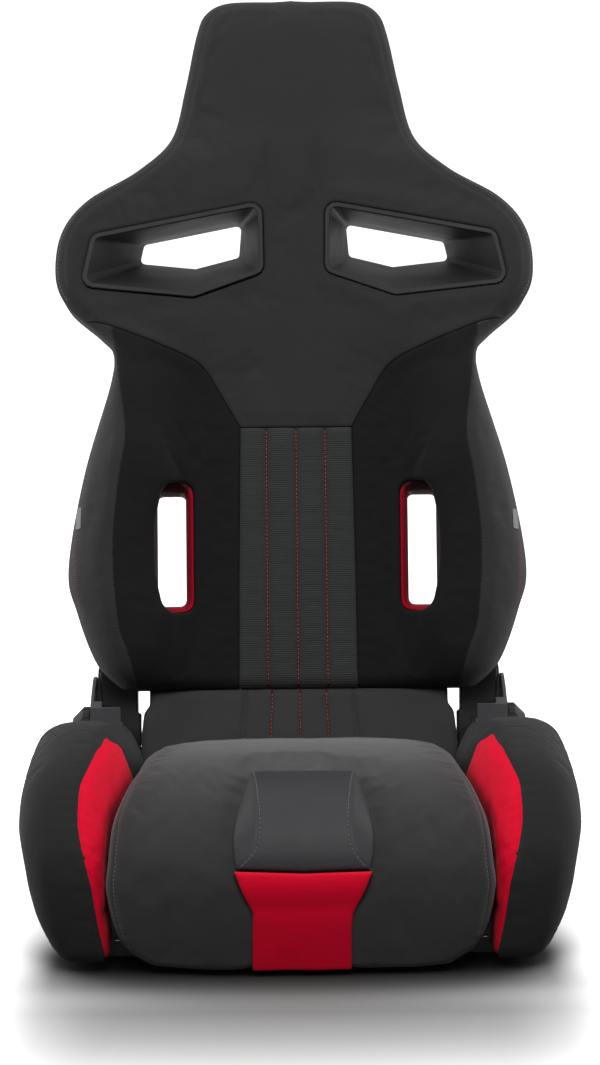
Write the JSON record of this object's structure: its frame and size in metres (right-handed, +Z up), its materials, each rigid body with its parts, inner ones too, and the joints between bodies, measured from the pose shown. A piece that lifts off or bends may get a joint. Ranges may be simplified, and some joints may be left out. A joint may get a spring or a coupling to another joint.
{
  "type": "racing seat",
  "caption": "High-backed reclining racing seat with harness slots, side bolsters, a sprung bolstered base and hand-wheel recliners.",
  "frame": {"origin": "centre of the four floor bolts, on the bottom faces of the side members", "axes": "+Z up; the sitter faces -Y; +X to the sitter's left, along the hinge axis"},
  "size_m": [0.57, 0.7425, 0.9358],
  "materials": {
    "black_fabric": "matte",
    "grey_fabric": "matte",
    "black_hide": "satin",
    "red_fabric": "matte",
    "black_plastic": "satin",
    "grey_plastic": "satin",
    "black_steel": "satin",
    "zinc": "satin"
  },
  "bodies": {
    "base": {"side_member_left": "black_steel", "side_member_right": "black_steel", "front_tube": "black_steel", "rear_tube": "black_steel", "seat_springs": "black_steel", "seat_spring_clips": "zinc", "seat_cushion": "grey_fabric", "pommel_pad": "black_hide", "pommel_apron": "red_fabric", "base_bolster_left": "black_fabric", "base_bolster_right": "black_fabric", "bolster_facing_left": "red_fabric", "bolster_facing_right": "red_fabric", "base_plate_left": "black_steel", "base_plate_right": "black_steel", "plate_bolts": "zinc", "plate_nuts": "zinc", "recliner_housing_left": "zinc", "recliner_housing_right": "zinc", "side_cover_left": "grey_plastic", "side_cover_right": "grey_plastic", "cover_screws": "black_steel"},
    "backrest": {"arm_left": "black_steel", "arm_right": "black_steel", "backrest_frame": "black_steel", "back_springs": "black_steel", "recliner_disc_left": "zinc", "recliner_disc_right": "zinc", "arm_bolts": "zinc", "arm_nuts": "zinc", "back_spring_clips": "zinc", "centre_pad": "grey_fabric", "lower_back_pad": "black_fabric", "side_pad_left": "black_fabric", "side_pad_right": "black_fabric", "head_pad": "black_fabric", "back_cover": "black_fabric", "arm_cap_left": "black_plastic", "arm_cap_right": "black_plastic", "shoulder_bezel_left": "black_plastic", "shoulder_bezel_right": "black_plastic", "rear_bezel_left": "black_plastic", "rear_bezel_right": "black_plastic", "lumbar_liner_left": "red_fabric", "lumbar_liner_right": "red_fabric"},
    "recline_shaft": {"cross_shaft": "zinc", "knob_left": "black_plastic", "knob_right": "black_plastic", "knob_screws": "zinc"}
  },
  "joints": [
    {"name": "recline", "type": "hinge", "parent": "base", "child": "backrest", "pos_m": [0, 0.2, 0.11], "axis": [-1, 0, 0], "range_deg": [-12, 55]},
    {"name": "shaft_turn", "type": "hinge", "parent": "base", "child": "recline_shaft", "pos_m": [0, 0.2, 0.11], "axis": [-1, 0, 0], "range_deg": [-360, 1650]}
  ],
  "couplings": [
    {"joint": "shaft_turn", "follows": "recline", "ratio": 30}
  ]
}
